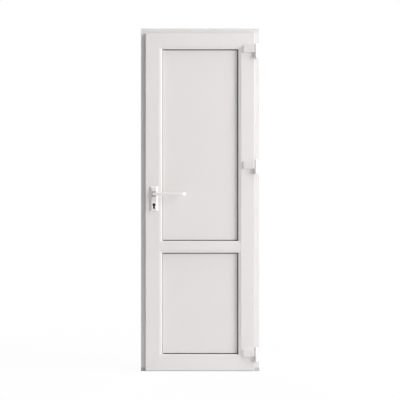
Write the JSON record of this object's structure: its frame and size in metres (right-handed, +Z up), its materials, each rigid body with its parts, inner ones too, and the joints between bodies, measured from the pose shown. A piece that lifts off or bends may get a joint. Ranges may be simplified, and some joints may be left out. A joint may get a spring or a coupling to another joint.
{
  "type": "upvc door",
  "caption": "White uPVC door in its frame on a low metal threshold: a hinged leaf with flat panels held by mitred beads and black gaskets, flag hinges and a lever handle.",
  "frame": {"origin": "on the threshold's underside, midway across the frame's width and depth", "axes": "+Z up, +X to the right as seen from the side that the leaf opens to, which faces -Y"},
  "size_m": [0.684, 0.152, 1.98],
  "materials": {
    "white_upvc": "satin",
    "white_panel": "satin",
    "black_rubber": "matt",
    "aluminium": "satin",
    "white_metal": "satin",
    "steel": "satin",
    "dark_metal": "satin"
  },
  "bodies": {
    "frame": {"frame_lock_jamb": "white_upvc", "frame_hinge_jamb": "white_upvc", "frame_head": "white_upvc", "threshold": "aluminium", "frame_seal": "black_rubber", "strike_plate": "steel", "hinge_base_top": "white_metal", "hinge_pin_top": "steel", "hinge_base_middle": "white_metal", "hinge_pin_middle": "steel", "hinge_base_bottom": "white_metal", "hinge_pin_bottom": "steel"},
    "leaf": {"leaf_lock_stile": "white_upvc", "leaf_hinge_stile": "white_upvc", "leaf_top_rail": "white_upvc", "leaf_bottom_rail": "white_upvc", "leaf_mid_rail": "white_upvc", "hinge_flag_top": "white_metal", "hinge_flag_middle": "white_metal", "hinge_flag_bottom": "white_metal", "upper_panel": "white_panel", "upper_bead_top": "white_upvc", "upper_bead_bottom": "white_upvc", "upper_bead_left": "white_upvc", "upper_bead_right": "white_upvc", "upper_panel_front_gasket": "black_rubber", "upper_panel_rear_gasket": "black_rubber", "lower_panel": "white_panel", "lower_bead_top": "white_upvc", "lower_bead_bottom": "white_upvc", "lower_bead_left": "white_upvc", "lower_bead_right": "white_upvc", "lower_panel_front_gasket": "black_rubber", "lower_panel_rear_gasket": "black_rubber", "leaf_seal": "black_rubber", "lock_faceplate": "steel", "latch_bolt": "steel", "handle_plate_front": "white_metal", "handle_plate_rear": "white_metal", "lock_cylinder": "dark_metal"},
    "handle": {"lever_front": "white_metal", "lever_rear": "white_metal", "spindle": "steel"}
  },
  "joints": [
    {"name": "leaf_swing", "type": "hinge", "parent": "frame", "child": "leaf", "pos_m": [0.323, -0.061, 1], "axis": [0, 0, 1], "range_deg": [0, 110]},
    {"name": "lever_turn", "type": "hinge", "parent": "leaf", "child": "handle", "pos_m": [-0.2655, -0.02, 1.023], "axis": [0, 1, 0], "range_deg": [0, 45], "stiffness_Nm_per_rad": 1.2, "springref_deg": -40.11}
  ]
}
